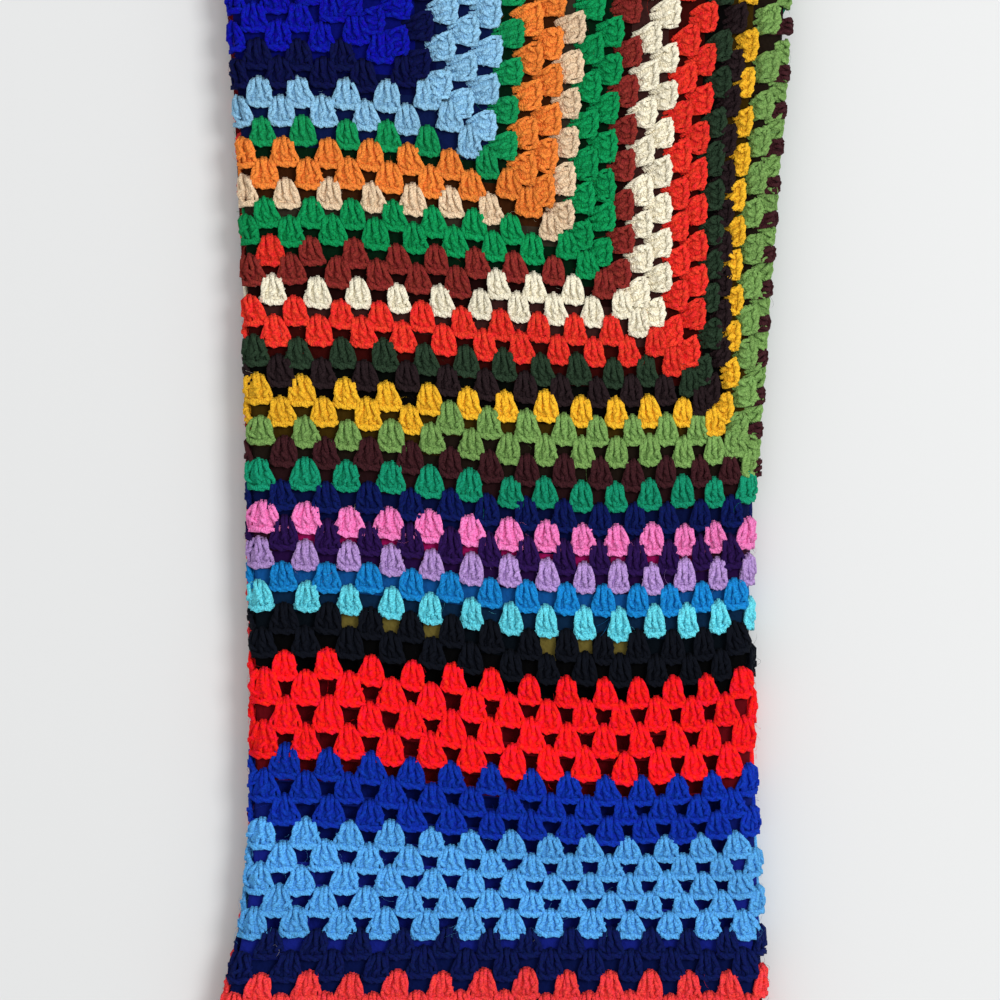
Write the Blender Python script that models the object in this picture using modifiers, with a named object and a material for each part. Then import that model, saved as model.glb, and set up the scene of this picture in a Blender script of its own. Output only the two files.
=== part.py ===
"""Granny square blanket, folded in half and in half again into a long strip of four layers.

The blanket is one crocheted square, worked outward in rounds of stitch clusters, and it is one solid.
A flat grid of the cloth is carried round the folds of the strip, is given its thickness, and the largest
gaps between the clusters are cut through the layer that lies uppermost.

Sizes are in metres and Z is up. The strip lies along Y, with the folded middle line of the square at -X
and the second fold at +X. A column or a round counts stitch rows outward from the middle of the square.
"""
import math
from typing import NamedTuple

import bmesh
import bpy
from mathutils import Matrix, Vector

MM = 0.001

# The crocheted cloth and the way its layers lie on each other
CLOTH_THICKNESS = 4.6 * MM
LAYER_GAP = 1.1 * MM
LAYER_STEP = CLOTH_THICKNESS + LAYER_GAP
TOP_LEVEL = 3
ROUNDS = 56
FIRST_COLUMN = 0.85  # column where the top layer leaves the left-hand fold
COLUMN_SPREAD = 0.14  # clusters stand wider apart on the left than on the right

# Steps round the folds and across each layer
LEFT_FOLD_STEPS = 6
INNER_FOLD_STEPS = 6
OUTER_FOLD_STEPS = 8
GRID_COLUMNS = (4.5, 8.5, 12.5, 16.5, 20.5)  # between the gaps of odd and of even rounds

# The open edges under the left-hand fold come a little farther out than the fold itself
FOLD_SETBACK = 2.0 * MM
EDGE_RIPPLE = 0.8 * MM
EDGE_RIPPLE_LENGTH = 0.19

# Unevenness: the upper layers rise and fall, and the layers' ends are not quite level
WAVE_SHARE = 0.05
WAVE_ALONG = 0.43
WAVE_ACROSS = 0.37
END_STAGGER = 1.5 * MM

# Gaps that are cut through: wide where they hang from the round before, narrow outward
GAP_WIDTH = 9.0 * MM
GAP_NARROW = 5.2 * MM
GAP_START = 0.94  # share of a row back from the round's outer line
GAP_END = 0.40
GAP_COLUMNS_EVEN = range(2, 25, 2)
GAP_COLUMNS_ODD = range(3, 24, 2)

YARN_COLOUR = (0.62, 0.035, 0.04, 1.0)
YARN_ROUGHNESS = 0.92


class Band(NamedTuple):
    """A run of rounds that share a row height."""

    first_round: int
    last_round: int
    row_height: float
    gaps_cut: bool


BANDS = (
    Band(1, 38, 10.67 * MM, False),
    Band(39, 42, 14.80 * MM, True),
    Band(43, 50, 12.07 * MM, True),
    Band(51, ROUNDS, 11.05 * MM, False),
)


class Station(NamedTuple):
    """The strip at one round: its edges, the column on its right-hand fold, and how far its row sags."""

    along: int
    left: float
    right: float
    last_column: float
    sag: float


STATIONS = (
    Station(-56, -156.3 * MM, 143.9 * MM, 24.6, 0.0 * MM),
    Station(-53, -154.2 * MM, 142.8 * MM, 24.8, 0.0 * MM),
    Station(-50, -143.9 * MM, 141.2 * MM, 25.0, 0.0 * MM),
    Station(-46, -138.5 * MM, 139.1 * MM, 25.4, 5.5 * MM),
    Station(-42, -138.0 * MM, 136.9 * MM, 25.9, 11.0 * MM),
    Station(-38, -138.0 * MM, 135.8 * MM, 26.4, 13.5 * MM),
    Station(-34, -139.1 * MM, 135.3 * MM, 26.7, 13.5 * MM),
    Station(-28, -140.1 * MM, 136.4 * MM, 27.2, 12.5 * MM),
    Station(-21, -141.8 * MM, 141.8 * MM, 27.7, 12.0 * MM),
    Station(-14, -144.5 * MM, 147.1 * MM, 27.9, 12.0 * MM),
    Station(-7, -149.8 * MM, 153.6 * MM, 28.1, 8.0 * MM),
    Station(0, -153.1 * MM, 156.3 * MM, 28.2, 0.0 * MM),
    Station(7, -152.0 * MM, 155.2 * MM, 28.1, -7.0 * MM),
    Station(14, -148.2 * MM, 150.9 * MM, 27.9, -10.0 * MM),
    Station(21, -143.9 * MM, 145.0 * MM, 27.7, -11.0 * MM),
    Station(28, -141.2 * MM, 140.7 * MM, 27.3, -11.0 * MM),
    Station(34, -139.6 * MM, 137.5 * MM, 26.9, -11.0 * MM),
    Station(38, -139.1 * MM, 136.9 * MM, 26.5, -10.0 * MM),
    Station(42, -139.1 * MM, 136.9 * MM, 26.1, -8.0 * MM),
    Station(46, -139.6 * MM, 138.0 * MM, 25.7, -5.0 * MM),
    Station(50, -141.2 * MM, 139.1 * MM, 25.3, -3.0 * MM),
    Station(53, -145.5 * MM, 140.7 * MM, 25.1, -2.0 * MM),
    Station(56, -150.4 * MM, 142.3 * MM, 24.9, -2.0 * MM),
)


def distance_out(rounds):
    """Distance from the square's middle to a round's outer line, signed like the round."""
    distance = 0.0
    for band in BANDS:
        worked = min(abs(rounds), band.last_round) - band.first_round + 1
        distance += max(worked, 0.0) * band.row_height
    return math.copysign(distance, rounds)


def station_at(rounds):
    """Station at any round, read between the table's rows."""
    for here, following in zip(STATIONS, STATIONS[1:]):
        if rounds <= following.along:
            share = (rounds - here.along) / (following.along - here.along)
            return Station(*(a + (b - a) * share for a, b in zip(here, following)))
    return STATIONS[-1]


def flat_span(station):
    """The stretch of X where the top layer lies flat between its two folds."""
    start = station.left + FOLD_SETBACK + (LAYER_STEP + CLOTH_THICKNESS) / 2
    end = station.right - (TOP_LEVEL * LAYER_STEP + CLOTH_THICKNESS) / 2
    return start, end


def column_share(station, column):
    """How far across the flat stretch a column lies, from 0 at the left-hand fold to 1 at the right."""
    evenly = (column - FIRST_COLUMN) / (station.last_column - FIRST_COLUMN)
    return evenly * (1 + COLUMN_SPREAD) - COLUMN_SPREAD * evenly * evenly


def sag_share(share):
    """Shape of a row's sag: none at the left-hand fold, most at two thirds, less at the right."""
    return math.sin(math.pi * 0.72 * min(max(share, 0.0), 1.0)) ** 2


def lift(x, y, level):
    """Height of a layer's middle; the bottom layer is flat and the upper ones rise and fall."""
    wave = math.sin(math.tau * y / WAVE_ALONG + 0.6) * math.cos(math.tau * x / WAVE_ACROSS + 0.4)
    return CLOTH_THICKNESS / 2 + level * LAYER_STEP * (1 + WAVE_SHARE * wave)


def fold_arc(centre_x, middle_level, radius_levels, side, steps):
    """Points (x, level) strictly between the two ends of a fold; side is +1 on the right, -1 on the left."""
    points = []
    for step in range(1, steps):
        turn = math.pi * step / steps
        x = centre_x + side * radius_levels * LAYER_STEP * math.sin(turn)
        points.append((x, middle_level - radius_levels * math.cos(turn)))
    return points


def section_path(station):
    """Points (x, level) along the cloth, from one open edge round all its folds to the other."""
    start, end = flat_span(station)
    ripple = EDGE_RIPPLE * math.sin(math.tau * distance_out(station.along) / EDGE_RIPPLE_LENGTH)
    upper_edge = station.left + EDGE_RIPPLE + ripple
    lower_edge = station.left + EDGE_RIPPLE - ripple
    shares = [column_share(station, column) for column in GRID_COLUMNS]

    def layer(level, from_x, to_x, across):
        return [(from_x + (to_x - from_x) * share, level) for share in [0.0, *across, 1.0]]

    backward = [1 - share for share in reversed(shares)]
    path = layer(1, upper_edge, end, shares)
    path += fold_arc(end, 1.5, 0.5, 1, INNER_FOLD_STEPS)
    path += layer(2, end, start, backward)
    path += fold_arc(start, 2.5, 0.5, -1, LEFT_FOLD_STEPS)
    path += layer(3, start, end, shares)
    path += [(x, TOP_LEVEL - level) for x, level in fold_arc(end, 1.5, 1.5, 1, OUTER_FOLD_STEPS)]
    path += layer(0, end, lower_edge, backward)
    return path


def lying_point(station, x, level):
    """Where a point of the section lies once its row's sag and the layers' rise and fall are added."""
    start, end = flat_span(station)
    share = (x - start) / (end - start)
    stagger = END_STAGGER * math.sin(2.1 * level + 0.5) * station.along / ROUNDS
    y = distance_out(station.along) - station.sag * sag_share(share) + stagger
    return Vector((x, y, lift(x, y, level)))


def yarn_material():
    """Matt wool-like yarn in the colour of the border."""
    material = bpy.data.materials.new("crocheted_yarn")
    material.use_nodes = True
    shader = material.node_tree.nodes["Principled BSDF"]
    shader.inputs["Base Color"].default_value = YARN_COLOUR
    shader.inputs["Roughness"].default_value = YARN_ROUGHNESS
    shader.inputs["Metallic"].default_value = 0.0
    material.diffuse_color = YARN_COLOUR
    return material


def folded_cloth(collection):
    """The cloth: a grid carried along the folded section at each station, with its thickness."""
    paths = [section_path(station) for station in STATIONS]
    across = len(paths[0])
    mesh = bpy.data.meshes.new("granny_square_blanket")
    work = bmesh.new()
    bmesh.ops.create_grid(work, x_segments=across - 1, y_segments=len(STATIONS) - 1, size=1.0)
    work.verts.ensure_lookup_table()
    for index, vertex in enumerate(work.verts):
        row, place = divmod(index, across)
        vertex.co = lying_point(STATIONS[row], *paths[row][place])
    bmesh.ops.recalc_face_normals(work, faces=work.faces)
    work.to_mesh(mesh)
    work.free()
    cloth = bpy.data.objects.new("granny_square_blanket", mesh)
    cloth.data.materials.append(yarn_material())
    collection.objects.link(cloth)
    thicken = cloth.modifiers.new("cloth_thickness", "SOLIDIFY")
    thicken.thickness = CLOTH_THICKNESS
    thicken.offset = 0.0
    thicken.use_even_offset = True
    return cloth


def gap_prism(work, rounds, column, side):
    """One gap of a round as a prism through the top layer; side is -1 toward -Y and +1 toward +Y."""
    station = station_at(side * (rounds - (GAP_START + GAP_END) / 2))
    start, end = flat_span(station)
    x = start + (end - start) * column_share(station, column)
    centre = lying_point(station, x, TOP_LEVEL)
    length = distance_out(rounds - GAP_END) - distance_out(rounds - GAP_START)
    made = bmesh.ops.create_cube(work, size=1.0, matrix=Matrix.Diagonal((GAP_WIDTH, length, LAYER_STEP, 1.0)))
    for vertex in made["verts"]:
        if vertex.co.y * side > 0:
            vertex.co.x *= GAP_NARROW / GAP_WIDTH
        vertex.co += centre


def gap_cutter(collection):
    """All the gaps that are cut through, as one cutter."""
    work = bmesh.new()
    for band in BANDS:
        if not band.gaps_cut:
            continue
        for rounds in range(band.first_round, band.last_round + 1):
            for column in GAP_COLUMNS_ODD if rounds % 2 else GAP_COLUMNS_EVEN:
                for side in (-1, 1):
                    gap_prism(work, rounds, column, side)
    mesh = bpy.data.meshes.new("cluster_gaps")
    work.to_mesh(mesh)
    work.free()
    cutter = bpy.data.objects.new("cluster_gaps", mesh)
    collection.objects.link(cutter)
    cutter.hide_render = True
    cutter.display_type = "WIRE"
    return cutter


def centre_on_origin(cloth, cutter):
    """Move the cloth and its cutter so that the box round the cut cloth is centred on the origin in X and Y."""
    evaluated = cloth.evaluated_get(bpy.context.evaluated_depsgraph_get())
    corners = [Vector(corner) for corner in evaluated.bound_box]
    middle = (corners[0] + corners[6]) / 2
    for item in (cloth, cutter):
        item.data.transform(Matrix.Translation((-middle.x, -middle.y, 0.0)))


def new_collection(name):
    """A collection of the scene."""
    collection = bpy.data.collections.new(name)
    bpy.context.scene.collection.children.link(collection)
    return collection


def main():
    """Clear the scene, fold the cloth, cut its gaps and set it on the origin."""
    for item in list(bpy.data.objects):
        bpy.data.objects.remove(item, do_unlink=True)
    cloth = folded_cloth(new_collection("granny_square_blanket"))
    cut = cloth.modifiers.new("gaps_cut_through", "BOOLEAN")
    cut.operation = "DIFFERENCE"
    cut.solver = "EXACT"
    cut.object = gap_cutter(new_collection("cutters"))
    centre_on_origin(cloth, cut.object)


main()
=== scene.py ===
"""Granny square blanket, dressed: every stitch cluster of the folded strip in its own yarn.

The blanket is one crocheted square, folded in half and in half again into a long strip of four layers.
A column counts stitch rows across the square and a round counts them outward, so a cluster's place in the
flat square is a column and a round, and FoldedStrip says where that place lies once the square is folded.

Sizes are in metres and Z is up. The strip lies along Y, with the folded middle line of the square at -X.
"""

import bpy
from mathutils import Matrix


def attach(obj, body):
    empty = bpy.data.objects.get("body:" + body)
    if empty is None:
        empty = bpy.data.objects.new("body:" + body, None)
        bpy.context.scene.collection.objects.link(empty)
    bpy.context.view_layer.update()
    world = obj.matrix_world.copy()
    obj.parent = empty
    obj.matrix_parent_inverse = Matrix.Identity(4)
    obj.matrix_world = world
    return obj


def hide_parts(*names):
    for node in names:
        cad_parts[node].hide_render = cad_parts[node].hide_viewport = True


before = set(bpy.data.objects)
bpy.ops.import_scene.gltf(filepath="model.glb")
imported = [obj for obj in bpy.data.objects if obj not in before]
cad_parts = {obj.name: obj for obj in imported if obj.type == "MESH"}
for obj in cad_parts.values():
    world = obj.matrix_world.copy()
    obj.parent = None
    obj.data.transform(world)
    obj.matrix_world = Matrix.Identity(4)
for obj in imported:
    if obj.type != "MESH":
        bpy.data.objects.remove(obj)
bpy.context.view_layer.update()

import logging
import math
from dataclasses import dataclass, field
from enum import Enum

import bpy
import numpy as np
from mathutils import Vector
from numpy.typing import NDArray

MM = 0.001
CM = 0.01
ROUNDS = 56
FLOOR_CLEARANCE = 0.1 * MM
CAD_NODE = "granny_square_blanket"
BODY = "root"
STRAND_MAP = "strand_run"
BAND_SHADE_PAINT = "band_colour_in_shade"
LOG = logging.getLogger("granny_square_blanket")

Array = NDArray[np.float64]
IntArray = NDArray[np.int64]
BoolArray = NDArray[np.bool_]
Socket = bpy.types.NodeSocket


class Detail(Enum):
    """How finely a cluster is worked out."""

    FULL = "every strand of its posts, wraps and braid"
    PLAIN = "its posts and braid as single strands"
    PAD = "its body alone"


class Side(Enum):
    """The side of the square that a cluster is worked on: its ends at Y, or its edges up X."""

    END = 0
    EDGE = 1


class Kind(Enum):
    """The kinds of cluster that are shaped differently."""

    LOW_ROW = 0
    TALL_ROW = 1
    SIDE = 2


# ---------------------------------------------------------------------------------------------------
# The folded strip
# ---------------------------------------------------------------------------------------------------

# Every row of a table starts with its round. What follows it is read between the rows on straight lines.

# How far the round's outer line lies from the middle of the square
ROUND_LINES = np.array(
    [(0, 0.0), (12, 120.6), (15, 154.0), (18, 185.2), (23, 239.7), (27, 282.0), (30, 316.1), (32, 340.0),
     (34, 359.4), (36, 382.2), (39, 418.2), (42, 461.1), (50, 559.0), (56, 627.4), (60, 671.6)]
) * (1.0, MM)

# The strip's left edge, its right edge, and its row's sag
STATIONS = np.array(
    [(-56, -156.3, 143.9, 0.0), (-53, -154.2, 142.8, 0.0), (-50, -143.9, 141.2, -3.0),
     (-46, -138.5, 139.1, 8.0), (-42, -138.0, 136.9, 15.0), (-38, -138.0, 135.8, 18.0),
     (-34, -139.1, 135.3, 13.5), (-28, -140.1, 136.4, 11.5), (-21, -141.8, 141.8, 11.0),
     (-14, -144.5, 147.1, 13.5), (-7, -149.8, 153.6, 9.0), (0, -153.1, 156.3, 0.0),
     (7, -152.0, 155.2, -7.0), (14, -148.2, 150.9, -10.0), (21, -143.9, 145.0, -11.0),
     (28, -141.2, 140.7, -11.0), (34, -139.6, 137.5, -11.0), (38, -139.1, 136.9, -10.0),
     (42, -139.1, 136.9, -8.0), (46, -139.6, 138.0, -5.0), (50, -141.2, 139.1, -3.0),
     (53, -145.5, 140.7, -2.0), (56, -150.4, 142.3, -2.0)]
) * (1.0, MM, MM, MM)

# The column where the top layer leaves the left-hand fold, the one on the right-hand fold, and how much
# wider apart the columns stand on the left
COLUMN_LINES = np.array(
    [(0, 1.30, 28.1, 0.14), (13, 1.30, 27.95, 0.14), (20, 1.10, 27.4, 0.18), (26, 0.80, 26.6, 0.21),
     (34, 0.85, 26.0, 0.185), (42, 0.85, 25.4, 0.13), (50, 1.00, 25.0, 0.11), (56, 1.00, 24.9, 0.11)]
)


def read_table(table: Array, rounds: Array) -> list[Array]:
    """Each value of a table past its round, read at any rounds on straight lines between its rows."""
    return [np.interp(rounds, table[:, 0], values) for values in table[:, 1:].T]


@dataclass
class FoldedStrip:
    """The lie of the cloth: where a column and a round of the flat square end up in the folded strip.

    The folds are given in columns of cloth, and a row's sag is deepest at a share of the way across. The
    two layers that end at the left-hand edge show there as a ripple, and the table holds the evened
    stations.
    """

    thickness: float = 4.6 * MM
    layer_gap: float = 1.1 * MM
    left_fold_columns: float = 0.9
    inner_fold_columns: float = 0.9
    outer_fold_columns: float = 2.7
    fold_setback: float = 2.0 * MM
    edge_in: float = 1.2 * MM
    edge_ripple: float = 0.9 * MM
    edge_ripple_length: float = 0.21
    edge_ripple_start: float = 3.04
    sag_deepest_at: float = 0.76
    sag_power: float = 1.1
    wave_share: float = 0.05
    wave_along: float = 0.43
    wave_across: float = 0.37
    wave_starts: tuple[float, float] = (0.6, 0.4)
    end_stagger: float = 1.5 * MM
    stagger_turn: float = 2.1
    stagger_start: float = 0.5
    centre_shift: tuple[float, float] = (-0.04 * MM, -0.62 * MM)
    smoothing: float = 1.3
    read_until: float = 60.0
    read_every: float = 0.25
    table: Array = field(init=False)

    def __post_init__(self) -> None:
        """Reads the stations at every part of a round and evens them with a bell-shaped weight."""
        along = np.arange(-self.read_until, self.read_until + self.read_every / 2, self.read_every)
        rows = np.stack(read_table(STATIONS, along) + read_table(COLUMN_LINES, np.abs(along)), axis=1)
        weight = np.exp(-0.5 * ((along[:, None] - along[None, :]) / self.smoothing) ** 2)
        self.table = np.column_stack([along, weight @ rows / weight.sum(axis=1, keepdims=True)])

    @property
    def layer_step(self) -> float:
        """Height from one layer's middle to the next."""
        return self.thickness + self.layer_gap

    def distance_out(self, rounds: Array) -> Array:
        """Distance from the square's middle to a round's outer line, signed like the round."""
        return np.sign(rounds) * read_table(ROUND_LINES, np.abs(rounds))[0]

    def round_at(self, distance: Array) -> Array:
        """The round, with its parts, that reaches a distance from the square's middle."""
        return np.interp(distance, ROUND_LINES[:, 1], ROUND_LINES[:, 0])

    def row_height(self, rounds: Array) -> Array:
        """Height of one round, which is how far its outer line lies past the one before."""
        return self.distance_out(np.abs(rounds)) - self.distance_out(np.abs(rounds) - 1)

    def read(self, along: Array) -> list[Array]:
        """The strip's left and right edge, sag, first and last column and column spread at any rounds."""
        return read_table(self.table, along)

    def place(self, column: Array, along: Array, lift: Array) -> tuple[Array, Array]:
        """Where a point of the flat square lies in the folded strip.

        Each stretch of columns is either a flat layer, where x goes evenly between the folds and the level
        stays, or a half turn, where x is the fold's centre plus the radius times the sine of the turn, and
        the level is the middle level plus or minus the radius times its cosine. Levels count the layers
        from 0 at the bottom to 3 on top. In the two upper layers the share across is spread on the left: it
        is the even share, times one plus the spread, less the spread times its square. The edges of the
        other two swing out past the left-hand fold and back, in opposite sines of the distance along.

        A row sags by its sag times the squared sine of a quarter turn, times the share across over the share
        where it is deepest, to a power. Each layer's rows are staggered a little more towards the ends, and
        the upper layers rise and fall in one slow wave, a sine along times a cosine across.

        Args:
            column: columns from the square's middle line.
            along: rounds from the square's middle, negative towards -Y.
            lift: height above the middle of the cloth, towards the side that faces out, in metres.

        Returns:
            The points, and the directions in which the cloth faces there.
        """
        column, along, lift = np.broadcast_arrays(*(np.asarray(v, float) for v in (column, along, lift)))
        left, right, sag, first, last, apart = self.read(along)
        step, back = self.layer_step, first - self.left_fold_columns
        start = left + self.fold_setback + (step + self.thickness) / 2
        end = right - (3 * step + self.thickness) / 2
        turns = math.tau * self.distance_out(along) / self.edge_ripple_length + self.edge_ripple_start
        ripple = self.edge_ripple * np.sin(turns)
        upper_edge, lower_edge = left + self.edge_in + ripple, left + self.edge_in - ripple
        top, second = (column - first) / (last - first), (back - column) / (last - first)
        top, second = top * (1 + apart) - apart * top**2, second * (1 + apart) - apart * second**2
        behind = back - (last - first)
        third = (behind - self.inner_fold_columns - column) / (ROUNDS + behind - self.inner_fold_columns)
        outer_end = last + self.outer_fold_columns
        bottom = (column - outer_end) / (ROUNDS - outer_end)
        turn_left = np.pi * np.clip((column - back) / self.left_fold_columns, 0, 1)
        turn_outer = np.pi * np.clip((column - last) / self.outer_fold_columns, 0, 1)
        turn_inner = np.pi * np.clip((column - behind) / self.inner_fold_columns + 1, 0, 1)
        parts = [column < behind - self.inner_fold_columns, column < behind, column < back, column < first,
                 column <= last, column < outer_end]
        x = np.select(parts, [end + (upper_edge - end) * third, end + 0.5 * step * np.sin(turn_inner),
                              start + (end - start) * second, start - 0.5 * step * np.sin(turn_left),
                              start + (end - start) * top, end + 1.5 * step * np.sin(turn_outer)],
                      end + (lower_edge - end) * bottom)
        level = np.select(parts, [1.0, 1.5 - 0.5 * np.cos(turn_inner), 2.0, 2.5 - 0.5 * np.cos(turn_left),
                                  3.0, 1.5 + 1.5 * np.cos(turn_outer)], 0.0)
        facing_x = np.select(parts, [0.0, -np.sin(turn_inner), 0.0, -np.sin(turn_left), 0.0,
                                     np.sin(turn_outer)], 0.0)
        facing_z = np.select(parts, [1.0, np.cos(turn_inner), -1.0, -np.cos(turn_left), 1.0,
                                     np.cos(turn_outer)], -1.0)
        share = np.clip((x - start) / (end - start), 0, 1)
        stagger = self.end_stagger * np.sin(self.stagger_turn * level + self.stagger_start) * along / ROUNDS
        dip = np.sin(0.5 * np.pi * (share / self.sag_deepest_at) ** self.sag_power) ** 2
        y = self.distance_out(along) - sag * dip + stagger
        wave = (np.sin(math.tau * y / self.wave_along + self.wave_starts[0])
                * np.cos(math.tau * x / self.wave_across + self.wave_starts[1]))
        z = self.thickness / 2 + level * step * (1 + self.wave_share * wave)
        facing = np.stack([facing_x, np.zeros_like(x), facing_z], axis=-1)
        shift_x, shift_y = self.centre_shift
        points = np.stack([x + shift_x, y + shift_y, z], axis=-1) + facing * lift[..., None]
        return points, facing


# ---------------------------------------------------------------------------------------------------
# Objects, materials and meshes of tubes
# ---------------------------------------------------------------------------------------------------


def new_object(name: str, data: bpy.types.ID) -> bpy.types.Object:
    """A new object of the scene, at the origin and unturned.

    Args:
        name: its name.
        data: its mesh, light or camera.

    Returns:
        The object.
    """
    made = bpy.data.objects.new(name, data)
    bpy.context.scene.collection.objects.link(made)
    return made


def new_material(name: str, settings: dict[str, float | tuple[float, ...]]) -> bpy.types.Material:
    """A new material, with settings on its shader's own sockets.

    Args:
        name: its name.
        settings: the sockets' names and their values.

    Returns:
        The material.
    """
    material = bpy.data.materials.new(name)
    material.use_nodes = True
    for title, value in settings.items():
        material.node_tree.nodes["Principled BSDF"].inputs[title].default_value = value
    return material


def linear(colour: tuple[int, int, int]) -> tuple[float, float, float, float]:
    """A screen colour as linear light, by the usual power of 2.4 with its straight foot.

    Args:
        colour: red, green and blue from 0 to 255.

    Returns:
        Red, green, blue and a full alpha, from 0 to 1.
    """
    share = np.array(colour) / 255
    light = np.where(share <= 0.04045, share / 12.92, ((share + 0.055) / 1.055) ** 2.4)
    return (*(float(v) for v in light), 1.0)


def add_bump(material: bpy.types.Material, height: Socket, depth: float, strength: float = 1.0) -> None:
    """Gives a material's own shader a bump.

    Args:
        material: the material.
        height: the socket that its height comes from, about 0 to 1.
        depth: how deep it is over that height, in metres.
        strength: how much of it shows.
    """
    nodes, links = material.node_tree.nodes, material.node_tree.links
    bump = nodes.new("ShaderNodeBump")
    bump.inputs["Distance"].default_value = depth
    bump.inputs["Strength"].default_value = strength
    links.new(height, bump.inputs["Height"])
    links.new(bump.outputs["Normal"], nodes["Principled BSDF"].inputs["Normal"])


@dataclass(frozen=True)
class GroupNodes:
    """The nodes of a group while it is built, with methods for the kinds that the yarn needs."""

    tree: bpy.types.NodeTree

    def number(self, kind: str, *values: Socket | float) -> Socket:
        """One sum on numbers or sockets.

        Args:
            kind: the Math node's operation.
            values: the numbers and sockets that go into it, in order.

        Returns:
            The sum's socket.
        """
        node = self.tree.nodes.new("ShaderNodeMath")
        node.operation = kind
        for place, value in zip(node.inputs, values):
            if isinstance(value, bpy.types.NodeSocket):
                self.tree.links.new(value, place)
            else:
                place.default_value = value
        return node.outputs[0]

    def carried(self, title: str) -> Socket:
        """A number that the mesh carries.

        Args:
            title: the attribute's name.

        Returns:
            Its socket.
        """
        node = self.tree.nodes.new("ShaderNodeAttribute")
        node.attribute_name = title
        return node.outputs["Fac"]

    def noise(self, room: Socket, scale: float, detail: float, rough: float) -> Socket:
        """Soft noise about 0.5.

        Args:
            room: the socket of the place that it is read at.
            scale: how fine it is, for a metre.
            detail: how many finer noises lie on it.
            rough: how strong they are.

        Returns:
            Its socket.
        """
        node = self.tree.nodes.new("ShaderNodeTexNoise")
        for title, value in (("Scale", scale), ("Detail", detail), ("Roughness", rough)):
            node.inputs[title].default_value = value
        self.tree.links.new(room, node.inputs["Vector"])
        return node.outputs["Fac"]

    def along_strand(self, name: str) -> tuple[Socket, Socket]:
        """The two numbers of a UV map.

        Args:
            name: the map's name.

        Returns:
            The sockets of the way round and of the run along the strand.
        """
        run = self.tree.nodes.new("ShaderNodeUVMap")
        run.uv_map = name
        parts = self.tree.nodes.new("ShaderNodeSeparateXYZ")
        self.tree.links.new(run.outputs["UV"], parts.inputs["Vector"])
        return parts.outputs["X"], parts.outputs["Y"]


def sweep(path: Array, facing: Array, half_width: Array, half_height: Array, sides: int) -> Array:
    """Rings of round strands along many paths at once.

    Each ring is the path's point, plus the side direction times the half width times the cosine, plus the
    raised direction times the half height times the sine. The side direction is the path's own direction
    crossed with the cloth's facing, so a strand keeps its flat side on the cloth.

    Args:
        path: the paths' points, (strands, steps, 3).
        facing: the cloth's facing at those points, the same size.
        half_width: half widths, spread to (strands, steps).
        half_height: half heights, spread to (strands, steps).
        sides: corners of a ring.

    Returns:
        The rings' points, (strands, steps, sides, 3).
    """
    run = np.gradient(path, axis=1)
    run /= np.maximum(np.linalg.norm(run, axis=-1, keepdims=True), 1e-12)
    across = np.cross(run, facing)
    across /= np.maximum(np.linalg.norm(across, axis=-1, keepdims=True), 1e-12)
    raised = np.cross(across, run)
    turn = math.tau * (np.arange(sides) + 0.5) / sides
    wide = np.broadcast_to(half_width, path.shape[:2])[..., None, None] * np.cos(turn)[:, None]
    high = np.broadcast_to(half_height, path.shape[:2])[..., None, None] * np.sin(turn)[:, None]
    return path[:, :, None, :] + across[:, :, None, :] * wide + raised[:, :, None, :] * high


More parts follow.
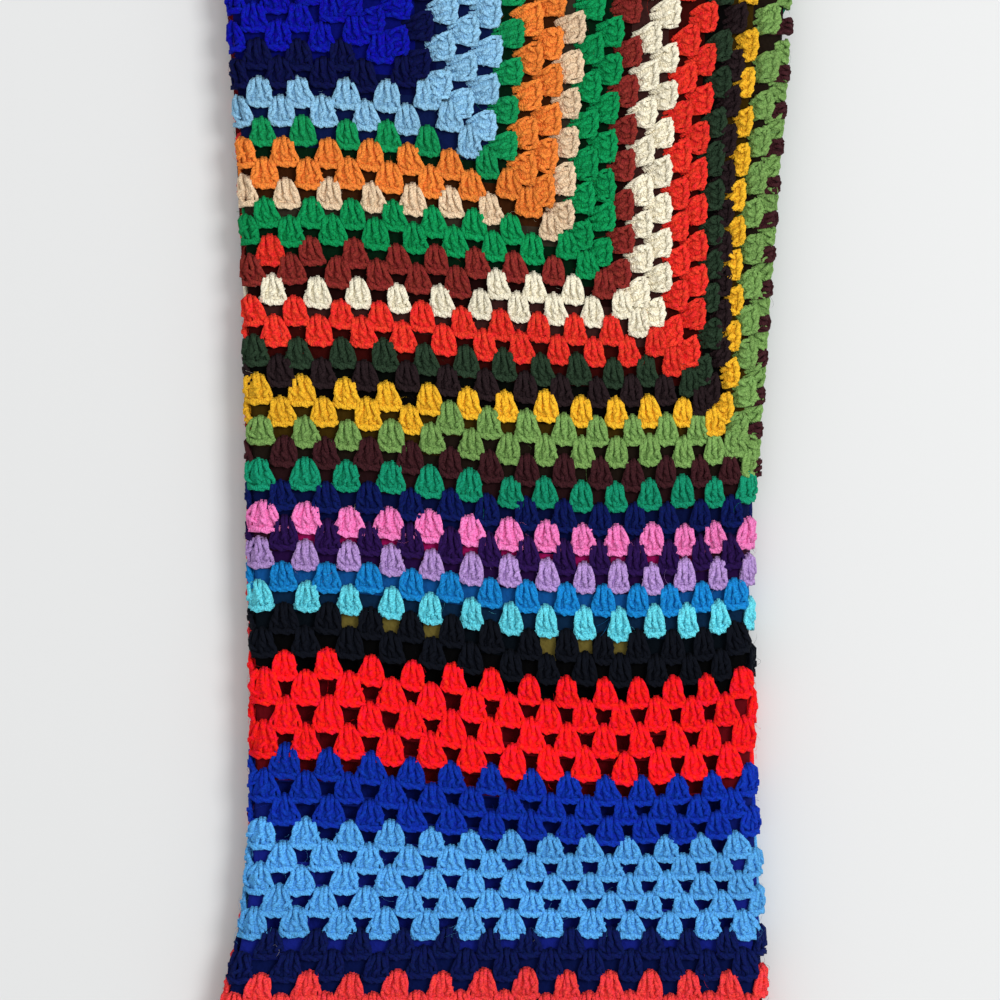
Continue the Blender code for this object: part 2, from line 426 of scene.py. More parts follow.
@dataclass
class MeshParts:
    """Closed tubes gathered into one mesh, with their yarn, their tone and how open they are to the light,
    which is painted shade on their colour.
    """

    points: list[Array] = field(default_factory=list)
    corners: list[IntArray] = field(default_factory=list)
    sizes: list[IntArray] = field(default_factory=list)
    yarns: list[IntArray] = field(default_factory=list)
    uvs: list[Array] = field(default_factory=list)
    tones: list[Array] = field(default_factory=list)
    openness: list[Array] = field(default_factory=list)
    count: int = 0

    def add_tubes(self, rings: Array, yarn: IntArray, tone: Array, openness: Array) -> None:
        """Adds closed tubes: quads along their walls and one face over each end.

        Their UV map holds the way round, from 0 to 1, and the run along the tube in centimetres.

        Args:
            rings: the rings' points, (tubes, steps, sides, 3).
            yarn: each tube's place in the list of yarns.
            tone: each tube's tone, about 0 and lighter above it.
            openness: each ring corner's openness as painted shade, 0 in the creases and 1 on top, spread to
                the rings.
        """
        tubes, steps, sides = rings.shape[:3]
        step, corner = np.meshgrid(np.arange(steps - 1), np.arange(sides), indexing="ij")
        after = (corner + 1) % sides
        wall = np.stack([step * sides + corner, (step + 1) * sides + corner, (step + 1) * sides + after,
                         step * sides + after], axis=-1)
        ends = np.concatenate([np.arange(sides), (steps - 1) * sides + np.arange(sides)[::-1]])
        pattern = np.concatenate([wall.reshape(-1), ends])
        around = np.concatenate([(np.stack([corner, corner, corner + 1, corner + 1], -1) / sides).reshape(-1),
                                 np.full(2 * sides, 0.5)])
        sizes = np.concatenate([np.full((steps - 1) * sides, 4), [sides, sides]])
        first = np.arange(tubes)[:, None] * steps * sides
        middles = rings.mean(axis=2)
        run = np.concatenate([np.zeros((tubes, 1)),
                              np.cumsum(np.linalg.norm(np.diff(middles, axis=1), axis=-1), axis=1)], axis=1)
        along = np.repeat(run[:, :, None], sides, axis=2).reshape(tubes, -1)[:, pattern]
        self.corners.append((self.count + first + pattern[None, :]).reshape(-1))
        self.sizes.append(np.tile(sizes, tubes))
        self.yarns.append(np.repeat(yarn, len(sizes)))
        self.uvs.append(np.stack([np.tile(around, tubes), along.reshape(-1) / CM], axis=-1))
        self.points.append(rings.reshape(-1, 3))
        self.tones.append(np.repeat(tone, steps * sides))
        self.openness.append(np.broadcast_to(openness, rings.shape[:3]).reshape(-1))
        self.count += tubes * steps * sides

    def build(self, name: str, materials: list[bpy.types.Material]) -> bpy.types.Object:
        """The mesh as an object of the scene, smooth, with its yarn materials.

        Args:
            name: the piece's name.
            materials: the materials, in the order that the tubes' yarns count.

        Returns:
            The object, at the origin.
        """
        points, corners, sizes, yarns = (
            np.concatenate(v) for v in (self.points, self.corners, self.sizes, self.yarns))
        points[:, 2] = np.maximum(points[:, 2], FLOOR_CLEARANCE)
        used = np.unique(yarns)
        mesh = bpy.data.meshes.new(name)
        mesh.vertices.add(len(points))
        mesh.vertices.foreach_set("co", points.astype(np.float32).reshape(-1))
        mesh.loops.add(len(corners))
        mesh.loops.foreach_set("vertex_index", corners.astype(np.int32))
        mesh.polygons.add(len(sizes))
        starts = np.concatenate([[0], np.cumsum(sizes)[:-1]])
        mesh.polygons.foreach_set("loop_start", starts.astype(np.int32))
        mesh.polygons.foreach_set("material_index", np.searchsorted(used, yarns).astype(np.int32))
        mesh.polygons.foreach_set("use_smooth", np.ones(len(sizes), bool))
        layer = mesh.uv_layers.new(name=STRAND_MAP)
        layer.uv.foreach_set("vector", np.concatenate(self.uvs).astype(np.float32).reshape(-1))
        for title, values in (("tone", self.tones), ("openness", self.openness)):
            attribute = mesh.attributes.new(title, "FLOAT", "POINT")
            attribute.data.foreach_set("value", np.concatenate(values).astype(np.float32))
        mesh.update(calc_edges=True)
        mesh.validate()
        for index in used:
            mesh.materials.append(materials[index])
        return new_object(name, mesh)


# ---------------------------------------------------------------------------------------------------
# Yarns
# ---------------------------------------------------------------------------------------------------


@dataclass(frozen=True)
class YarnFinish:
    """One yarn, with its colours on a screen's scale from 0 to 255.

    Hair is how downy it is, crease how much painted shade darkens it between its stitches, twist how
    deep its plies show, variation how much its tone changes from cluster to cluster, and sheen how much
    light its down catches. Bulk is how wide its clusters are against the others. Web is the colour of the
    loops behind them as painted shade, the darkness seen in their gaps, or None for its own colour
    darkened as painted shade. Relief is the depth of its bump. The down's colour is the yarn's times the
    down's gain, plus what is added, and 255 at most.
    """

    name: str
    colour: tuple[int, int, int]
    hair: float = 0.35
    crease_shade: float = 0.34
    twist: float = 0.5
    variation: float = 0.10
    sheen: float = 0.18
    bulk: float = 1.0
    web: tuple[int, int, int] | None = None
    gloss: float = 0.12
    sheen_roughness: float = 0.55
    relief: float = 0.6 * MM
    down_gain: float = 1.3
    down_added: int = 24

    def material(self) -> bpy.types.Material:
        """The yarn's material: the spun yarn group over a matt, slightly downy shader.

        Returns:
            The material.
        """
        down = tuple(min(255, int(self.down_gain * c) + self.down_added) for c in self.colour)
        material = new_material(self.name, {
            "Specular IOR Level": self.gloss, "Sheen Weight": self.sheen,
            "Sheen Roughness": self.sheen_roughness, "Sheen Tint": linear(down),
        })
        nodes, links = material.node_tree.nodes, material.node_tree.links
        shader = nodes["Principled BSDF"]
        spun = nodes.new("ShaderNodeGroup")
        spun.node_tree = SpunYarnLook().group()
        spun.inputs["Yarn Colour"].default_value = linear(self.colour)
        amounts = {"Hair": self.hair, "Crease Shade": self.crease_shade, "Twist": self.twist, "Variation": self.variation}
        for title, amount in amounts.items():
            spun.inputs[title].default_value = amount
        links.new(spun.outputs["Colour"], shader.inputs["Base Color"])
        links.new(spun.outputs["Roughness"], shader.inputs["Roughness"])
        add_bump(material, spun.outputs["Height"], self.relief)
        material.diffuse_color = linear(self.colour)
        return material


@dataclass(frozen=True)
class SpunYarnLook:
    """The look of spun yarn that all the finishes share, as one node group."""

    name: str = "spun_yarn"
    hair_noise: tuple[float, float, float] = (1100.0, 3.0, 0.7)
    clump_noise: tuple[float, float, float] = (380.0, 2.0, 0.5)
    ridges_round: float = 2.0
    ridges_a_cm: float = 6.0
    ridge_wander: float = 2.4
    least_hair: float = 0.35
    # openness_power and ply_shade set the painted shade in the creases and between the plies
    openness_power: float = 0.8
    ply_shade: float = 0.30
    hair_shade: tuple[float, float] = (1.2, 1.8)
    hue_wander: float = 0.02
    roughness: tuple[float, float] = (0.82, 0.15)

    def group(self) -> bpy.types.NodeTree:
        """The node group, built once.

        The plies' slanting ridges are a sine of the ridges round times the way round, plus those in a
        centimetre times the run along the strand, with a coarse noise in it so that no two are the same.
        Height is the ridges and a fine noise for the hair. Colour is the yarn's colour times the cluster's
        tone, with painted shade in the creases and between the plies, the hair noise on it and a slight
        change of hue. Roughness rises a little with the hair.

        Returns:
            The node group.
        """
        found = bpy.data.node_groups.get(self.name)
        if found:
            return found
        group = bpy.data.node_groups.new(self.name, "ShaderNodeTree")
        face = group.interface
        face.new_socket("Yarn Colour", in_out="INPUT", socket_type="NodeSocketColor")
        for title in ("Hair", "Crease Shade", "Twist", "Variation"):
            face.new_socket(title, in_out="INPUT", socket_type="NodeSocketFloat")
        face.new_socket("Colour", in_out="OUTPUT", socket_type="NodeSocketColor")
        face.new_socket("Roughness", in_out="OUTPUT", socket_type="NodeSocketFloat")
        face.new_socket("Height", in_out="OUTPUT", socket_type="NodeSocketFloat")
        nodes, links = group.nodes, group.links
        given, out = nodes.new("NodeGroupInput").outputs, nodes.new("NodeGroupOutput").inputs
        room = nodes.new("ShaderNodeTexCoord").outputs["Object"]
        inside = GroupNodes(group)
        number, carried = inside.number, inside.carried
        hair, clump = inside.noise(room, *self.hair_noise), inside.noise(room, *self.clump_noise)
        way_round, run = inside.along_strand(STRAND_MAP)
        along = number("MULTIPLY", run, self.ridges_a_cm)
        slant = number("MULTIPLY_ADD", way_round, self.ridges_round, along)
        wobble = number("MULTIPLY_ADD", clump, self.ridge_wander, slant)
        ridge = number("MULTIPLY_ADD", number("SINE", number("MULTIPLY", wobble, math.tau)), 0.5, 0.5)
        downy = number("MULTIPLY", hair, number("ADD", given["Hair"], self.least_hair))
        # Painted shade: darker where the strand is less open to the light, and between the plies
        openness = number("POWER", carried("openness"), self.openness_power)
        shaded = number("MULTIPLY_ADD", openness, given["Crease Shade"], number("SUBTRACT", 1.0, given["Crease Shade"]))
        dip = number("MULTIPLY", given["Twist"], self.ply_shade)
        plied = number("MULTIPLY_ADD", number("SUBTRACT", ridge, 1.0), dip, 1.0)
        least, more = self.hair_shade
        hairiness = number("MULTIPLY_ADD", given["Hair"], more, least)
        haired = number("MULTIPLY_ADD", number("SUBTRACT", hair, 0.5), hairiness, 1.0)
        toned = number("MULTIPLY_ADD", carried("tone"), given["Variation"], 1.0)
        mix = nodes.new("ShaderNodeHueSaturation")
        links.new(given["Yarn Colour"], mix.inputs["Color"])
        value = number("MULTIPLY", number("MULTIPLY", shaded, plied), number("MULTIPLY", haired, toned))
        links.new(value, mix.inputs["Value"])
        hue = number("MULTIPLY_ADD", number("SUBTRACT", clump, 0.5), self.hue_wander, 0.5)
        links.new(hue, mix.inputs["Hue"])
        links.new(mix.outputs["Color"], out["Colour"])
        smoothest, rougher = self.roughness
        links.new(number("MULTIPLY_ADD", hair, rougher, smoothest), out["Roughness"])
        links.new(number("MULTIPLY_ADD", ridge, given["Twist"], downy), out["Height"])
        return group


# Each web colour is painted shade: the darkness seen in the gaps behind that yarn's clusters
ROYAL = YarnFinish("royal_blue_yarn", (6, 16, 164), hair=0.7, twist=0.2, sheen=0.05, web=(5, 12, 104))
MIDNIGHT = YarnFinish("midnight_yarn", (3, 10, 66), hair=0.7, twist=0.2, sheen=0.04, web=(3, 9, 56))
LIGHT_BLUE = YarnFinish("light_blue_yarn", (150, 206, 242), hair=0.25, crease_shade=0.6, web=(8, 22, 66))
EMERALD = YarnFinish("emerald_yarn", (18, 152, 88), bulk=0.92)
ORANGE = YarnFinish("orange_yarn", (248, 138, 58), bulk=1.06)
TAN = YarnFinish("tan_yarn", (238, 208, 172))
GREEN = YarnFinish("green_yarn", (10, 150, 84))
MAROON = YarnFinish("maroon_yarn", (142, 46, 40), hair=0.6)
CREAM = YarnFinish("cream_yarn", (255, 246, 219), hair=0.15, crease_shade=0.32, bulk=0.94, web=(54, 28, 26))
CORAL = YarnFinish("coral_red_yarn", (246, 56, 42))
BOTTLE = YarnFinish("bottle_green_yarn", (40, 60, 42), hair=0.7, sheen=0.1)
BARK = YarnFinish("bark_brown_yarn", (38, 25, 28), hair=0.6, sheen=0.08)
MUSTARD = YarnFinish("mustard_yarn", (255, 192, 46), hair=0.25, crease_shade=0.4)
SAGE = YarnFinish("sage_yarn", (126, 166, 90), hair=0.45, web=(26, 18, 12))
BROWN = YarnFinish("dark_brown_yarn", (62, 26, 31), hair=0.6, web=(34, 14, 16))
TEAL = YarnFinish("teal_green_yarn", (18, 148, 110), bulk=1.06, web=(4, 14, 56))
NAVY = YarnFinish("navy_yarn", (4, 20, 84), hair=0.7, twist=0.2, sheen=0.05, web=(4, 15, 62))
PINK = YarnFinish("pink_yarn", (255, 132, 200), hair=0.3, bulk=1.2)
PURPLE = YarnFinish("dark_purple_yarn", (38, 12, 72), hair=0.6, twist=0.2, sheen=0.05, web=(34, 9, 56))
LILAC = YarnFinish("lilac_yarn", (188, 152, 218), hair=0.3, crease_shade=0.6, bulk=0.95, web=(14, 76, 138))
AZURE = YarnFinish("azure_yarn", (20, 132, 206), hair=0.7, twist=0.2, web=(8, 34, 60))
AQUA = YarnFinish("aqua_yarn", (106, 226, 244), hair=0.5, crease_shade=0.5, bulk=0.94, web=(3, 9, 16))
BLACK = YarnFinish("black_yarn", (5, 9, 20), hair=0.5, twist=0.3, sheen=0.04)
RED = YarnFinish("scarlet_yarn", (255, 22, 30), hair=0.3, twist=0.2, web=(86, 4, 13))
DEEP_BLUE = YarnFinish("deep_blue_yarn", (8, 48, 168), hair=0.6, twist=0.2, sheen=0.08, web=(8, 22, 96))
SKY = YarnFinish("sky_blue_yarn", (92, 176, 246), hair=0.35, crease_shade=0.42, web=(18, 30, 120))
INK = YarnFinish("ink_blue_yarn", (4, 18, 78), hair=0.7, twist=0.2, sheen=0.05, web=(4, 16, 66))
BORDER = YarnFinish("border_coral_yarn", (255, 64, 66), hair=0.4, web=(84, 10, 16))

YARNS = (ROYAL, MIDNIGHT, LIGHT_BLUE, EMERALD, ORANGE, TAN, GREEN, MAROON, CREAM, CORAL, BOTTLE, BARK,
         MUSTARD, SAGE, BROWN, TEAL, NAVY, PINK, PURPLE, LILAC, AZURE, AQUA, BLACK, RED, DEEP_BLUE, SKY, INK,
         BORDER)


@dataclass(frozen=True)
class YarnRun:
    """Rounds that are worked in one yarn, up to and with the last one."""

    yarn: YarnFinish
    last_round: int


@dataclass(frozen=True)
class YarnChange:
    """A round where the next yarn is joined in before its end: from a column on, and up the edge."""

    round: int
    from_column: int
    yarn: YarnFinish


RUNS = (
    YarnRun(ROYAL, 8), YarnRun(MIDNIGHT, 10), YarnRun(LIGHT_BLUE, 12), YarnRun(EMERALD, 13),
    YarnRun(ORANGE, 15), YarnRun(TAN, 16), YarnRun(GREEN, 18), YarnRun(MAROON, 20), YarnRun(CREAM, 21),
    YarnRun(CORAL, 23), YarnRun(BOTTLE, 24), YarnRun(BARK, 25), YarnRun(MUSTARD, 27), YarnRun(SAGE, 28),
    YarnRun(BROWN, 29), YarnRun(TEAL, 30), YarnRun(NAVY, 31), YarnRun(PINK, 32), YarnRun(PURPLE, 33),
    YarnRun(LILAC, 34), YarnRun(AZURE, 35), YarnRun(AQUA, 36), YarnRun(BLACK, 38), YarnRun(RED, 42),
    YarnRun(DEEP_BLUE, 45), YarnRun(SKY, 50), YarnRun(INK, 52), YarnRun(BORDER, ROUNDS),
)
CHANGES = (YarnChange(10, 9, LIGHT_BLUE), YarnChange(20, 13, CREAM), YarnChange(27, 10, SAGE))


@dataclass(frozen=True)
class YarnSpot:
    """One cluster that is worked in another round's yarn."""

    round: int
    column: int
    yarn: YarnFinish


RED_SPOT = YarnSpot(19, 2, CORAL)


@dataclass(frozen=True)
class Glimpse:
    """Holes of a round of the top layer where a lower layer's yarn is seen, in painted shade."""

    round: int
    columns: tuple[int, ...]
    colour: tuple[int, int, int]


# Each colour is a lower layer's yarn darkened as painted shade
GLIMPSES = (
    Glimpse(37, (5, 7, 9, 15, 17, 19), (100, 88, 40)),
    Glimpse(33, (3, 5, 7, 9, 11, 13, 15, 17, 19, 21, 23), (150, 14, 84)),
)


def yarn_of(rounds: IntArray, column: Array, side: IntArray, up: Array) -> IntArray:
    """Which yarn a cluster is worked in.

    Args:
        rounds: the cluster's round.
        column: its column.
        side: the value of its Side.
        up: its place along Y, in rounds.

    Returns:
        Places in YARNS.
    """
    last = np.array([run.last_round for run in RUNS])
    order = np.array([YARNS.index(run.yarn) for run in RUNS])
    yarn = order[np.searchsorted(last, rounds)]
    for change in CHANGES:
        joined = (column >= change.from_column) | ((side == Side.EDGE.value) & (column > 0)) | (up > 0)
        yarn = np.where((rounds == change.round) & joined, YARNS.index(change.yarn), yarn)
    spot = (rounds == RED_SPOT.round) & (column == RED_SPOT.column) & (side == Side.END.value) & (up < 0)
    return np.where(spot, YARNS.index(RED_SPOT.yarn), yarn)


# ---------------------------------------------------------------------------------------------------
# Clusters
# ---------------------------------------------------------------------------------------------------


@dataclass
class Clusters:
    """A list of clusters: where they are worked, which way they point, and their yarn.

    Column and along are the place of a cluster's outer edge in the flat square, in columns and in rounds.
    Of out column and out along, one is 1 or -1 and the other 0, which is the way that it points. Corner says
    that it is the first or last of its row.
    """

    rounds: IntArray
    column: Array
    along: Array
    out_column: Array
    out_along: Array
    side: IntArray
    corner: BoolArray
    yarn: IntArray

    @classmethod
    def of_square(cls) -> "Clusters":
        """Lays out the square: a round of number r has clusters at every second place from -(r-1) to r-1.

        Returns:
            All the clusters of the square.
        """
        rows: list[Array] = []
        for r in range(1, ROUNDS + 1):
            place = np.arange(-(r - 1), r, 2, dtype=float)
            for sign in (-1.0, 1.0):
                ones = np.ones_like(place)
                at_corner = (np.abs(place) == r - 1) & (r > 1)
                rows.append(np.stack([r * ones, place, sign * r * ones, 0 * ones, sign * ones,
                                      Side.END.value * ones, at_corner], axis=1))
                rows.append(np.stack([r * ones, sign * r * ones, place, sign * ones, 0 * ones,
                                      Side.EDGE.value * ones, at_corner], axis=1))
        grid = np.concatenate(rows)
        rounds, side = grid[:, 0].astype(int), grid[:, 5].astype(int)
        yarn = yarn_of(rounds, grid[:, 1], side, grid[:, 2])
        return cls(rounds, grid[:, 1], grid[:, 2], grid[:, 3], grid[:, 4], side, grid[:, 6] > 0, yarn)

    @property
    def at_end(self) -> BoolArray:
        """Which clusters are worked on the square's ends, in the rows that run across the strip."""
        return self.side == Side.END.value

    @property
    def at_outer_corner(self) -> BoolArray:
        """Which clusters are at a corner on the strip's right-hand side."""
        return self.corner & (self.column > 0)

    def chosen(self, which: BoolArray) -> "Clusters":
        """Some of the clusters, as a list of their own."""
        return Clusters(*(getattr(self, name)[which] for name in self.__dataclass_fields__))

    def __len__(self) -> int:
        """How many clusters there are."""
        return len(self.rounds)


# The next tables are for the clusters worked up the right-hand side and for the corners, again by round.

# How far the side's clusters are pushed out at their row's middle, and how much less at its ends, in columns
SIDE_PUSH = np.array(
    [(0, 0.6), (8, 1.5), (11, 1.7), (13, 1.9), (18, 1.95), (23, 2.07), (24, 2.0), (25, 1.73), (26, 1.5),
     (27, 1.57), (28, 1.56), (29, 0.58), (32, 0.0)]
)
SIDE_BOW = np.array([(0, 0.5), (24, 0.5), (26, 1.0), (27, 1.47), (28, 1.84), (29, 2.0), (32, 0.0)])

# The length of the side's clusters, how deep their feet sink and their width, as shares, and how much they
# are raised
SIDE_SHAPE = np.array(
    [(0, 1.1, 1.0, 1.0, 0.0), (23, 1.1, 1.0, 1.0, 0.0), (26, 1.0, 1.6, 1.0, 0.0), (28, 1.0, 1.5, 0.95, 0.0),
     (29, 1.0, 1.25, 0.52, 1.0), (30, 1.1, 1.0, 1.0, 0.0)]
) * (1.0, 1.0, 1.0, 1.0, MM)

# How far the corner's cluster at the row's end is pushed along, and how far the one on the side is drawn
# back, in columns
CORNER_PUSH = np.array(
    [(0, 0.3), (8, 0.8), (11, 1.0), (16, 1.0), (20, 0.8), (23, 0.6), (25, 0.4), (26, 0.0), (27, 0.3),
     (29, 0.2), (32, 0.0)]
)
CORNER_PULL = np.array(
    [(0, 0.0), (12, 0.0), (18, 0.2), (23, 0.4), (25, 0.7), (26, 0.35), (27, 0.2), (28, 0.0), (29, -0.6),
     (30, 0.0)]
)

# How far the corner's cluster at the row's end reaches past its row, in rounds
CORNER_REACH = np.array(
    [(0, 0.3), (10, 0.6), (12, 0.85), (15, 0.6), (23, 0.5), (26, 0.65), (28, 0.85), (29, 0.4), (31, 0.0)]
)


@dataclass
class ClusterStitch:
    """Three double crochets worked into one gap: a narrow foot, fanned posts, wraps and a braided top edge.

    A place across a cluster is in columns from its middle, and a share of its length is 0 at the foot and 1
    at the braid. Three values together are for a low row, a tall row and the side. A taper is a strand's
    thickness at each of its steps, as a share.
    """

    strip: FoldedStrip

    # A cluster as a whole
    length: float = 17.4 * MM
    length_in_rows: float = 1.45
    tall_from: float = 12.1 * MM
    tall_row_width: float = 1.14
    foot_half_widths: tuple[float, float, float] = (0.22, 0.18, 0.23)
    full_from: tuple[float, float, float] = (0.80, 0.80, 0.66)
    fan_power: float = 0.85
    top_half_width: float = 0.53
    dome: float = 0.08
    lift: float = 2.1 * MM

    # Up the side
    edge_pitch: float = 10.3 * MM
    side_width: float = 1.13
    side_lean: float = 0.28
    lean_full_at: float = 5.0
    side_rise: float = 1.2 * MM
    side_sink: float = 3.4 * MM
    sink_from: float = 0.25
    sink_until: float = 0.60
    side_pitch: float = 9.6 * MM
    side_until: int = 31
    side_even_from: float = 5.0
    side_lag: float = 0.35

    # The posts and their plies
    post_steps: tuple[float, ...] = (0.02, 0.17, 0.42, 0.70, 0.95)
    post_lifts_mm: tuple[float, ...] = (-0.9, 0.85, 0.75, 0.2, -0.35)
    post_taper: tuple[float, ...] = (0.70, 1.0, 1.0, 0.98, 0.75)
    post_turn: float = 0.21
    ply_half_width: float = 1.45 * MM
    ply_half_height: float = 1.30 * MM
    lone_ply_size: float = 1.7
    ply_apart: float = 0.10
    ply_spread: tuple[float, float] = (0.75, 1.25)
    ply_lift: float = 0.6 * MM
    twist_turns: float = 0.62

    # The wraps over the posts
    wrap_middle: float = 0.60
    wrap_wander: float = 0.05
    wrap_turn: float = 2.1
    wrap_fan_at: float = 0.65
    wrap_inward: float = 0.84
    wrap_slant: float = 0.16
    wrap_reach: float = 0.13
    wrap_crown: float = 1.75 * MM
    wrap_drop: float = 1.7 * MM
    wrap_half_width: float = 1.3 * MM
    wrap_taper: tuple[float, ...] = (0.6, 1.0, 1.0, 0.6)
    wrap_tone: float = 0.2

    # The braided edge
    braid_middle: float = 0.935
    braid_bow: float = 0.085
    braid_reach: float = 0.68
    braid_turns: float = 1.5
    braid_phase: float = 0.4
    braid_swing: float = 0.062
    braid_crown: float = 0.3 * MM
    braid_drop: float = 0.6 * MM
    braid_heave: float = 0.7 * MM
    braid_half_width: float = 1.55 * MM
    braid_taper: tuple[float, ...] = (0.6, 0.95, 1.0, 1.0, 0.95, 0.6)
    braid_tone: float = 0.1

    # The body under the strands
    pad_steps: tuple[float, ...] = (0.05, 0.22, 0.50, 0.80, 0.99)
    pad_spreads: tuple[float, ...] = (-0.02, 0.05, 0.09, 0.12, -0.04)
    pad_half_heights_mm: tuple[float, ...] = (1.5, 2.7, 3.1, 3.0, 1.6)
    pad_sides: int = 6
    pad_openness: tuple[float, float] = (0.55, 0.35)
    hidden_height: float = 0.68

    # How open a strand is to the light, round its crest and by its lift, painted as shade on its colour
    crest_openness: tuple[float, float] = (0.62, 0.38)
    openness_from: float = 0.55
    openness_slope: float = 1.6
    openness_start: float = 0.25
    openness_least: float = 0.15

    # What differs from cluster to cluster
    tilt: float = 0.04
    nudge_across: float = 0.045
    nudge_out: float = 0.05
    growth: float = 0.03
    raise_by: float = 0.12 * MM
    seed: int = 7
    key_steps: tuple[int, int, int] = (131, 7, 3)
    key_start: int = 400
    tone_waves: tuple[tuple[float, float], ...] = ((12.9898, 0.6), (4.1414, 0.4))
    phase_step: float = 0.61803
    drawn: Array = field(init=False)

    def __post_init__(self) -> None:
        """Draws five chance numbers from -2 to 2 for every place that a cluster can have."""
        seeds = np.random.default_rng(self.seed)
        self.drawn = seeds.normal(0.0, 1.0, (5, ROUNDS + 1, 2 * ROUNDS + 3, 2, 2)).clip(-2, 2)

    def fan(self, clusters: Clusters, share: Array) -> Array:
        """Half width between the outer posts, for each cluster.

        The foot's half width plus the rest times a power of the share, full from a share on. Both are read
        by kind: a cluster in a low row, in a tall row, or on the side.

        Args:
            clusters: the clusters.
            share: shares of the length, (steps,).

        Returns:
            Half widths in columns, (clusters, 1, steps).
        """
        tall = self.strip.row_height(clusters.rounds) > self.tall_from
        row_kind = np.where(tall, Kind.TALL_ROW.value, Kind.LOW_ROW.value)
        kind = np.where(clusters.at_end, row_kind, Kind.SIDE.value)[:, None, None]
        foot, full = np.array(self.foot_half_widths)[kind], np.array(self.full_from)[kind]
        return foot + (self.top_half_width - foot) * np.minimum(share / full, 1.0) ** self.fan_power

    def evened(self, clusters: Clusters) -> Array:
        """Places along Y, in rounds, with the clusters up the right-hand side evenly apart.

        A side cluster stands its round's corner line less the even pitch times the rounds between it and
        the corner, and within a few rounds of the middle this gives way to its own row.

        Args:
            clusters: the clusters.

        Returns:
            The places, one for each cluster.
        """
        away = np.abs(clusters.along)
        corner_line = self.strip.distance_out(clusters.rounds - 1.0)
        even = self.strip.round_at(corner_line - self.side_pitch * (clusters.rounds - 1 - away))
        share = np.clip(away / self.side_even_from, 0, 1)
        on_side = ~clusters.at_end & (clusters.column > 0) & (clusters.rounds <= self.side_until)
        place = np.where(on_side, away + share * (even + self.side_lag - away), away)
        return np.sign(clusters.along) * place

    def pushed(self, clusters: Clusters) -> Array:
        """Places across, in columns, with the side pushed out over the fold.

        A side cluster goes out by its row's push, less the bow times the squared share of the way to the
        corner. The corner's cluster there is drawn back, and the one at the row's end is pushed along.

        Args:
            clusters: the clusters.

        Returns:
            The places, one for each cluster.
        """
        (push,), (bow,), (pull,), (along_row,) = (
            read_table(table, clusters.rounds) for table in (SIDE_PUSH, SIDE_BOW, CORNER_PULL, CORNER_PUSH))
        push = (push - bow * (clusters.along / clusters.rounds) ** 2) * (clusters.out_column > 0)
        push -= pull * (clusters.at_outer_corner & ~clusters.at_end)
        return clusters.column + push + along_row * (clusters.at_outer_corner & clusters.at_end)

    def chance(self, clusters: Clusters) -> Array:
        """Each cluster's own chance numbers.

        Args:
            clusters: the clusters.

        Returns:
            Tilt, nudge across, nudge out, growth and height, (5, clusters).
        """
        away = (clusters.out_along + clusters.out_column > 0).astype(int)
        place = np.where(clusters.at_end, clusters.column, clusters.along).astype(int) + ROUNDS
        return self.drawn[:, clusters.rounds, place, clusters.side, away]

    def laid(self, clusters: Clusters, across: Array, share: Array, lift: Array,
             wide: Array) -> tuple[Array, Array]:
        """Points of the clusters laid on the strip.

        A point's place across its cluster and its share of the length are turned by the cluster's small
        tilt and set down from its outer line. Up the side the cluster also leans towards the corner, and
        its foot sinks below its top by a smooth step, three times a square less twice a cube.

        Args:
            clusters: the clusters.
            across: places across, (clusters, ...).
            share: shares of the length, the same size.
            lift: heights above the middle of the cloth, the same size.
            wide: each cluster's width, about 1.

        Returns:
            The points and the cloth's facing.
        """
        shape = (len(clusters),) + (1,) * (across.ndim - 1)
        tilt, nudge_across, nudge_out, grow, rise = self.chance(clusters).reshape(-1, *shape)
        end, grown, angle = clusters.at_end, 1 + self.growth * grow, self.tilt * tilt
        side_length, side_sink, side_width, side_raise = read_table(SIDE_SHAPE, clusters.rounds)
        pitch = np.where(end, self.strip.row_height(clusters.rounds), self.edge_pitch)
        length = np.maximum(self.length, self.length_in_rows * pitch) * np.where(end, 1.0, side_length)
        row_width = np.where(pitch > self.tall_from, self.tall_row_width, 1.0)
        broad = wide * np.where(end, row_width, self.side_width * side_width)
        back = (1 - share) * (length / pitch).reshape(shape) * grown
        aside = across * broad.reshape(shape) * grown
        reach = read_table(CORNER_REACH, clusters.rounds)[0] * (clusters.at_outer_corner & end)
        out = (-back * np.cos(angle) + aside * np.sin(angle) + self.nudge_out * nudge_out
               + reach.reshape(shape))
        aside = aside * np.cos(angle) + back * np.sin(angle) + self.nudge_across * nudge_across
        leaning = np.clip(clusters.along / self.lean_full_at, -1, 1) * (clusters.column > 0) * ~end
        out_column, out_along = clusters.out_column.reshape(shape), clusters.out_along.reshape(shape)
        aside = aside + out_column * self.side_lean * leaning.reshape(shape) * (share - 0.5)
        foot = np.clip((self.sink_until - share) / (self.sink_until - self.sink_from), 0, 1)
        sink = self.side_sink * side_sink.reshape(shape) * foot**2 * (3 - 2 * foot)
        raised = (self.side_rise * share - sink + side_raise.reshape(shape)) * (~end).reshape(shape)
        column = self.pushed(clusters).reshape(shape) + out_column * out + out_along * aside
        along = self.evened(clusters).reshape(shape) + out_along * out - out_column * aside
        return self.strip.place(column, along, lift + raised + self.raise_by * rise)

